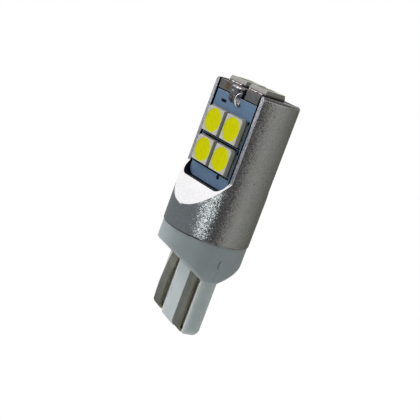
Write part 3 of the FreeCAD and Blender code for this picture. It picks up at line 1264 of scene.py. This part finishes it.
        # painted shade: the upward faces of the top rim take the dark rim tone
        if face.normal.z > 0.25 and middle.z > top - self.rim_radius:
            return Blasted.RIM
        if face.normal.z > 0.4 and square > 0.8 and middle.z < top - 1:
            return Blasted.RAMP
        if square > 0.99 and any(abs(abs(middle.y) - (radius - depth)) < 0.02 for depth in self.flat_depths):
            return Blasted.FLAT
        # painted shade: faces inside the pocket and the seat take the near-black tone
        inside = abs(middle.x) < seat + 0.01 and middle.xy.length < radius - 0.05
        return Blasted.POCKET if inside else Blasted.WALL

    def build(self) -> None:
        """Turns the housing, mills it, goes over its edges and dresses it."""
        low, high = self.shop.head.span("housing")
        radius, top = high.x, high.z
        seat = self.shop.head.span("top_board")[1].x + self.pocket_gap
        bm = carved(self.turned_body(radius, low.z, top), self.tools(radius, low.z, top, seat))
        bmesh.ops.remove_doubles(bm, verts=bm.verts, dist=self.weld)
        bm.normal_update()
        for face in bm.faces:
            face.material_index = self.finish_of(face, radius, seat, top)
        rounded_edges(bm, sharp_edges(bm, self.edge.angle), self.edge.width, self.edge.segments)
        self.shop.finish_native("housing_finished", bm, Side.FRONT, self.finishes(), "housing_metal", ("housing",))


@dataclass(frozen=True)
class Package:
    """The sizes of one LED package, which is modelled face up on its own origin."""

    width: float = 3.0
    face_width: float = 2.8
    foot: float = 0.08
    skirt_top: float = 0.26
    height: float = 0.68
    corner_cut: float = 0.34
    corner_reach: float = 0.2
    cup_radius: float = 1.335
    cup_depth: float = 0.34
    cup_taper: float = 0.25
    cup_overshoot: float = 0.2
    cup_facets: int = 72
    dips: tuple[Span, ...] = ((0.05, -0.006), (0.25, -0.014), (0.40, -0.010))
    edge: EdgeRound = EdgeRound(0.05, 3, 25.0)

    @property
    def cup_slope(self) -> float:
        """How much the cup widens towards its mouth, for each millimetre of height."""
        return self.cup_taper / self.cup_depth

    def cup(self, over: float) -> Mesh:
        """Makes the round of the cup, from its floor to some way over the case's face or under it."""
        return drum((self.cup_radius - self.cup_taper, self.cup_radius + self.cup_slope * over),
                    (self.height - self.cup_depth, self.height + over), self.cup_facets)

    def case(self, cut_side: int) -> Mesh:
        """Makes the white case: a skirt, sloped sides, one cut corner and a round cup.

        Args:
            cut_side: The side of the cut corner, 1 towards +X and -1 towards -X.

        Returns:
            The case, with its faces numbered as in Case.
        """
        half = self.width / 2
        bm = block((-half, -half, self.foot), (half, half, self.skirt_top))
        bm.normal_update()
        lid = [face for face in bm.faces if face.normal.z > 0.9]
        top = bmesh.ops.extrude_discrete_faces(bm, faces=lid)["faces"][0]
        draft = self.face_width / self.width
        bmesh.ops.scale(bm, verts=top.verts, vec=(draft, draft, 1.0))
        bmesh.ops.translate(bm, verts=top.verts, vec=(0, 0, self.height - self.skirt_top))
        near = half - self.corner_reach
        corner = [edge for edge in bm.edges if all(vert.co.x * cut_side > near and vert.co.y > near
                                                   for vert in edge.verts)]
        rounded_edges(bm, corner, self.corner_cut / math.sqrt(2), 1, clamp=False)
        rounded_edges(bm, sharp_edges(bm, self.edge.angle), self.edge.width, self.edge.segments)
        bm = carved(bm, [self.cup(self.cup_overshoot)])
        bm.normal_update()
        for face in bm.faces:
            middle = face.calc_center_median()
            if face.normal.z > 0.8 or middle.xy.length < half * 0.9:
                face.material_index = Case.FACE
            else:
                # painted shade: the sloped sides and the foot take the darker tones
                on_slope = middle.z > self.skirt_top + self.edge.width
                face.material_index = Case.SIDE if on_slope else Case.FOOT
        return bm

    def fill(self, sunk: float) -> Mesh:
        """Makes the fill, a tapered disc which dips a little towards its middle.

        Args:
            sunk: How far it lies below the case's face.

        Returns:
            The fill, with a UV map of its own plane.
        """
        bm = self.cup(-sunk)
        bm.normal_update()
        face = [each for each in bm.faces if each.normal.z > 0.9]
        for inset, dip in self.dips:
            bmesh.ops.inset_region(bm, faces=face, thickness=inset, depth=dip, use_even_offset=True)
        layer = bm.loops.layers.uv.new(LED_MAP)
        for each in bm.faces:
            for loop in each.loops:
                loop[layer].uv = loop.vert.co.xy
        return bm


@dataclass(frozen=True)
class FootSolder:
    """The uneven row of solder lumps along one foot of a top package."""

    finish: BrightSolder = BrightSolder("joint_solder", (0.42, 0.37, 0.38), (0.16, 0.14, 0.14), (0.12, 0.30),
                                        ripple=0.22)
    lumps: int = 9
    length: float = 0.19
    size: float = 0.11
    swing: float = 0.045
    step_phase: float = 2.4
    package_phase: float = 1.3
    end_inset: float = 0.1
    proud: float = 0.02
    stray: float = 0.04
    rise: float = 0.06
    extra_height: float = 0.04
    voxel: float = 0.03

    def build(self, low: Vector, high: Vector, phase: float) -> Mesh:
        """Makes the solder along the side of a foot that faces -Y.

        Args:
            low: The lowest place of the package's terminals.
            high: Their highest place.
            phase: Where its unevenness starts.

        Returns:
            The closed solder.
        """
        beads = []
        for index in range(self.lumps):
            share = index / (self.lumps - 1)
            wave = math.sin(index * self.step_phase + phase)
            size = self.size + self.swing * wave
            x = low.x + self.end_inset + (high.x - low.x - 2 * self.end_inset) * share
            centre = (x, low.y - self.proud - self.stray * wave, low.z + self.rise)
            beads.append(bead(centre, (self.length, size, size + self.extra_height)))
        return melted(beads, self.voxel, 3)


@dataclass(frozen=True)
class LightPackages:
    """The LED packages on both sides and on top: cases, fills, terminals and the solder at the top ones' feet."""

    shop: Workshop
    package: Package = Package()
    face_plastic: MouldedPlastic = MouldedPlastic("led_case", (0.48, 0.485, 0.445), roughness=0.45, mottle=0.03,
                                                  spot=0.8)
    # painted shade: the sloped sides and the foot are darker copies of the white case plastic
    side_plastic: MouldedPlastic = MouldedPlastic("led_case_side", (0.28, 0.28, 0.262), roughness=0.5,
                                                  mottle=0.08, spot=0.5)
    foot_plastic: MouldedPlastic = MouldedPlastic("led_case_foot", (0.11, 0.105, 0.075), roughness=0.5,
                                                  mottle=0.25, spot=0.5)
    tinned: DullMetal = DullMetal("tinned_terminal", (0.20, 0.185, 0.14), (0.08, 0.075, 0.055), roughness=0.3)
    phosphor: Phosphor = Phosphor()
    foot_solder: FootSolder = FootSolder()
    terminal_edge: EdgeRound = EdgeRound(0.015, 1)
    side_count: int = 4
    top_count: int = 2
    side_fill_sunk: float = 0.02
    top_fill_sunk: float = 0.15

    def stand(self, bm: Mesh, node: str, side: Side, on_top: bool) -> None:
        """Moves a package's piece from its own origin to where its packed case stands.

        Args:
            bm: The piece.
            node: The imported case.
            side: The side of the head.
            on_top: Whether the package lies on the top board.
        """
        low, high = self.shop.head.span(node, side)
        middle = (low + high) / 2
        if on_top:
            bmesh.ops.translate(bm, verts=bm.verts, vec=(middle.x, middle.y, high.z - self.package.height))
            return
        rotate(bm, math.pi / 2, "X")
        bmesh.ops.translate(bm, verts=bm.verts, vec=(middle.x, low.y + self.package.height, middle.z))

    def add_foot_solder(self) -> None:
        """Adds the solder along both feet of each top package."""
        finish = self.foot_solder.finish.build()
        for number in range(1, self.top_count + 1):
            for side in Side:
                low, high = self.shop.head.span(f"top_terminals_{number}", side)
                bm = self.foot_solder.build(low, high, number * self.foot_solder.package_phase + side.value)
                self.shop.finish_native(f"top_joint_{side.word}_{number}", bm, side, (finish,), "solder",
                                        smooth=80.0)

    def build(self) -> None:
        """Builds every package."""
        case_finishes = [self.face_plastic.build(), self.side_plastic.build(), self.foot_plastic.build()]
        tinned = self.tinned.build()
        phosphor = self.phosphor.build()
        cases = {cut_side: self.package.case(cut_side) for cut_side in (-1, 1)}
        fills = {on_top: self.package.fill(self.top_fill_sunk if on_top else self.side_fill_sunk)
                 for on_top in (False, True)}
        places = [(side.word, side, number, False) for side in Side for number in range(1, self.side_count + 1)]
        places += [("top", Side.FRONT, number, True) for number in range(1, self.top_count + 1)]
        for word, side, number, on_top in places:
            led, disc = f"{word}_led_{number}", f"{word}_phosphor_{number}"
            case = cases[-1 if number % 2 else 1]
            for template, node, finishes, slot in ((case, led, case_finishes, "led_case"),
                                                   (fills[on_top], disc, (phosphor,), "phosphor")):
                bm = template.copy()
                self.stand(bm, led, side, on_top)
                self.shop.finish_native(f"{node}_finished", bm, side, finishes, slot, (node,))
            self.shop.rounded(f"{word}_terminals_{number}", self.terminal_edge, (tinned,))
        for template in (*cases.values(), *fills.values()):
            template.free()
        self.add_foot_solder()


@dataclass(frozen=True)
class SolderBridge:
    """The solder that joins a side board to the top board: a tongue, a bulge in the notch and a curled rim, whose
    near-white finish is a painted highlight.

    Each lump is given by its place across the board, how far it stands before the board's face and its height,
    and by its radii.
    """

    shop: Workshop
    skin: BrightSolder = BrightSolder("bright_solder", (0.36, 0.345, 0.35), (0.105, 0.095, 0.10), (0.14, 0.46))
    # painted highlight: the rim is a near-white copy of the solder, for the bright crescent
    rim: BrightSolder = BrightSolder("bright_rim", (0.92, 0.90, 0.90), (0.70, 0.68, 0.68), (0.12, 0.22),
                                     bump=0.006)
    voxel: float = 0.026
    tongue: tuple[Span, ...] = ((-1.19, 18.94), (-0.40, 18.84), (0.40, 18.70), (0.98, 18.60), (0.74, 19.20),
                                (0.64, 19.70), (0.82, 20.40), (-1.19, 20.40))
    tongue_depth: float = 0.17
    tongue_sunk: float = 0.03
    bulge_reach: Span = (-1.17, 0.80)
    bulge_proud: float = 0.15
    bulge_foot: float = 19.70
    bulge_drop: float = 0.16
    lumps: tuple[tuple[Point, Point], ...] = (
        ((-0.30, 0.08, 20.34), (0.92, 0.36, 0.36)), ((0.52, 0.12, 20.40), (0.36, 0.28, 0.24)),
        ((-0.62, 0.10, 19.70), (0.50, 0.30, 1.00)), ((0.00, 0.06, 19.95), (0.34, 0.24, 0.55)))
    hollow: tuple[Point, Point] = ((0.98, 0.72, 19.36), (0.86, 0.80, 0.72))
    ridge_lumps: int = 44
    ridge_radius: float = 0.085
    ridge_sizes: Span = (0.35, 1.0)
    ridge_depth: float = 1.5
    ridge_centre: Span = (1.06, 19.30)
    ridge_reach: Span = (0.95, 0.80)
    ridge_angles: Span = (118.0, 246.0)

    def lump(self, face: float, centre: Point, radii: Point) -> Mesh:
        """Makes a lump before the board's face."""
        return bead((centre[0], face - centre[1], centre[2]), radii)

    def body_lumps(self, face: float, high: Vector) -> list[Mesh]:
        """Makes what the body is melted from: the tongue, the bulge and the lumps over them.

        Args:
            face: The place of the board's face.
            high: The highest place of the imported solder.

        Returns:
            The closed lumps.
        """
        tongue = prism([(x, face + self.tongue_sunk, z) for x, z in self.tongue],
                       (0, -self.tongue_depth - self.tongue_sunk, 0))
        bulge = block((self.bulge_reach[0], face - self.bulge_proud, self.bulge_foot),
                      (self.bulge_reach[1], high.y, high.z - self.bulge_drop))
        return [tongue, bulge, *(self.lump(face, *each) for each in self.lumps)]

    def ridge(self, face: float) -> list[Mesh]:
        """Makes the curled rim, as a chain of beads on an arc that is thickest in its middle.

        Args:
            face: The place of the board's face.

        Returns:
            The beads.
        """
        first, last = self.ridge_angles
        lumps = []
        for index in range(self.ridge_lumps):
            share = index / (self.ridge_lumps - 1)
            angle = math.radians(first + (last - first) * share)
            x = self.ridge_centre[0] + self.ridge_reach[0] * math.cos(angle)
            z = self.ridge_centre[1] + self.ridge_reach[1] * math.sin(angle)
            size = self.ridge_radius * (self.ridge_sizes[0] + self.ridge_sizes[1] * math.sin(math.pi * share))
            lumps.append(bead((x, face - self.tongue_depth, z), (size, size * self.ridge_depth, size)))
        return lumps

    def build(self) -> None:
        """Builds the solder on both sides."""
        finishes = [self.skin.build(), self.rim.build()]
        for side in Side:
            node = f"{side.word}_solder"
            high = self.shop.head.span(node, side)[1]
            face = self.shop.head.span(f"{side.word}_board", side)[0].y
            body = melted(self.body_lumps(face, high), self.voxel, 4)
            body = melted([carved(body, [self.lump(face, *self.hollow)])], self.voxel, 3)
            rim = melted(self.ridge(face), self.voxel, 3)
            # painted highlight: the rim's faces take the near-white finish
            for each in rim.faces:
                each.material_index = Solder.RIM
            self.shop.finish_native(f"{node}_finished", joined((body, rim)), side, finishes, "solder", (node,),
                                    smooth=80.0)


@dataclass(frozen=True)
class Boards:
    """The side boards with their marks, the top board, and the board inside with its parts."""

    shop: Workshop
    mask: SolderMask = SolderMask()
    core: DullMetal = DullMetal("board_core", (0.20, 0.20, 0.21), (0.09, 0.09, 0.10))
    # one black finish for the printed minus sign, the dark ticks and the painted shadow lines
    black_print: MouldedPlastic = MouldedPlastic("black_print", (0.002, 0.002, 0.002), roughness=0.9, mottle=0.1,
                                                 gloss=0.08)
    top_laminate: MouldedPlastic = MouldedPlastic("top_laminate", (0.060, 0.062, 0.066), roughness=0.5,
                                                  mottle=0.3, spot=0.6)
    copper: DullMetal = DullMetal("bare_copper", (0.15, 0.095, 0.045), (0.06, 0.04, 0.022), roughness=0.5)
    green: MouldedPlastic = MouldedPlastic("driver_laminate", (0.03, 0.16, 0.06), roughness=0.4, mottle=0.1,
                                           spot=0.7)
    compound: MouldedPlastic = MouldedPlastic("black_compound", (0.02, 0.02, 0.022), roughness=0.5, mottle=0.1,
                                              spot=0.4)
    ceramic: MouldedPlastic = MouldedPlastic("tan_ceramic", (0.42, 0.30, 0.18), roughness=0.5, mottle=0.1,
                                             spot=0.4)
    wire: DullMetal = DullMetal("tinned_wire", (0.6, 0.59, 0.57), (0.4, 0.38, 0.35), roughness=0.3)
    edge: EdgeRound = EdgeRound(0.04)
    print_height: float = 0.012
    # painted shadow: black bars in the gap between the rows of packages and under the lower row
    line_heights: tuple[float, ...] = (14.415, 14.645, 11.20)
    line_width: float = 0.165
    line_reach: Span = (-3.40, 3.36)
    tick_reach: Span = (3.13, 3.40)
    tick_starts: Span = (17.33, 13.98)
    tick_rise: float = 0.36
    minus: tuple[Span, Span] = ((-2.30, 18.38), (-1.42, 18.68))
    copper_patch: tuple[Span, Span] = ((-2.36, 19.80), (-1.63, 20.50))
    copper_round: float = 0.1

    def thin_block(self, corners: tuple[Span, Span], face: float, rounding: float) -> Mesh:
        """Makes a thin raised patch on a board's face.

        Args:
            corners: Its lower left and its upper right corner.
            face: The place of the board's face.
            rounding: How far its corners are rounded.

        Returns:
            The closed patch.
        """
        low, high = corners
        bm = block((low[0], face - self.print_height, low[1]), (high[0], face + self.print_height, high[1]))
        upright = [edge for edge in bm.edges if abs(edge.verts[0].co.y - edge.verts[1].co.y) > self.print_height]
        rounded_edges(bm, upright, rounding, 3)
        return bm

    def add_print(self, side: Side) -> None:
        """Adds the black lines, ticks and the printed minus sign of a side board. The lines between and under the
        rows of packages are painted shadow.

        Args:
            side: The side of the head.
        """
        face = self.shop.head.span(f"{side.word}_board", side)[0].y
        half = self.line_width / 2
        bars = [((self.line_reach[0], height - half), (self.line_reach[1], height + half))
                for height in self.line_heights]
        bars += [((self.tick_reach[0], start), (self.tick_reach[1], start + self.tick_rise))
                 for start in self.tick_starts]
        blocks = [self.thin_block(bar, face, self.line_width / 3) for bar in (*bars, self.minus)]
        self.shop.finish_native(f"{side.word}_board_print", joined(blocks), side, (self.black_print.build(),),
                                "board_mask")

    def side_finish(self, side: Side) -> Callable[[Face], int]:
        """Gives the rule for a side board's finishes: the mask on the face that looks out, bare core elsewhere."""
        back = self.shop.head.turn_back(side)
        return lambda face: Laminate.MASK if (back @ face.normal).y < -0.9 else Laminate.CORE

    def build(self) -> None:
        """Dresses every board and what it carries."""
        finishes = [self.mask.build(), self.core.build()]
        for side in Side:
            self.shop.rounded(f"{side.word}_board", self.edge, finishes, self.side_finish(side))
            self.add_print(side)
        self.shop.rounded("top_board", self.edge, (self.top_laminate.build(),))
        patch = self.thin_block(self.copper_patch, self.shop.head.span("top_board")[0].y, self.copper_round)
        self.shop.finish_native("top_board_copper", patch, Side.FRONT, (self.copper.build(),), "board_mask")
        compound, wire = self.compound.build(), self.wire.build()
        for node, material in (("driver_board", self.green.build()), ("bridge_rectifier", compound),
                               ("load_resistor_1", compound), ("load_resistor_2", compound),
                               ("smoothing_capacitor", self.ceramic.build()), ("front_lead", wire),
                               ("rear_lead", wire)):
            self.shop.dress(node, material)


def main() -> None:
    """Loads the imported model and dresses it."""
    logging.basicConfig(level=logging.INFO, format="%(name)s: %(message)s")
    for unused in list(bpy.data.objects):
        bpy.data.objects.remove(unused, do_unlink=True)
    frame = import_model()
    head = Head.measured()
    shop = Workshop(frame, head)
    Studio(head).build()
    WedgeBase(shop).build()
    Housing(shop).build()
    LightPackages(shop).build()
    Boards(shop).build()
    SolderBridge(shop).build()


if __name__ == "__main__":
    main()
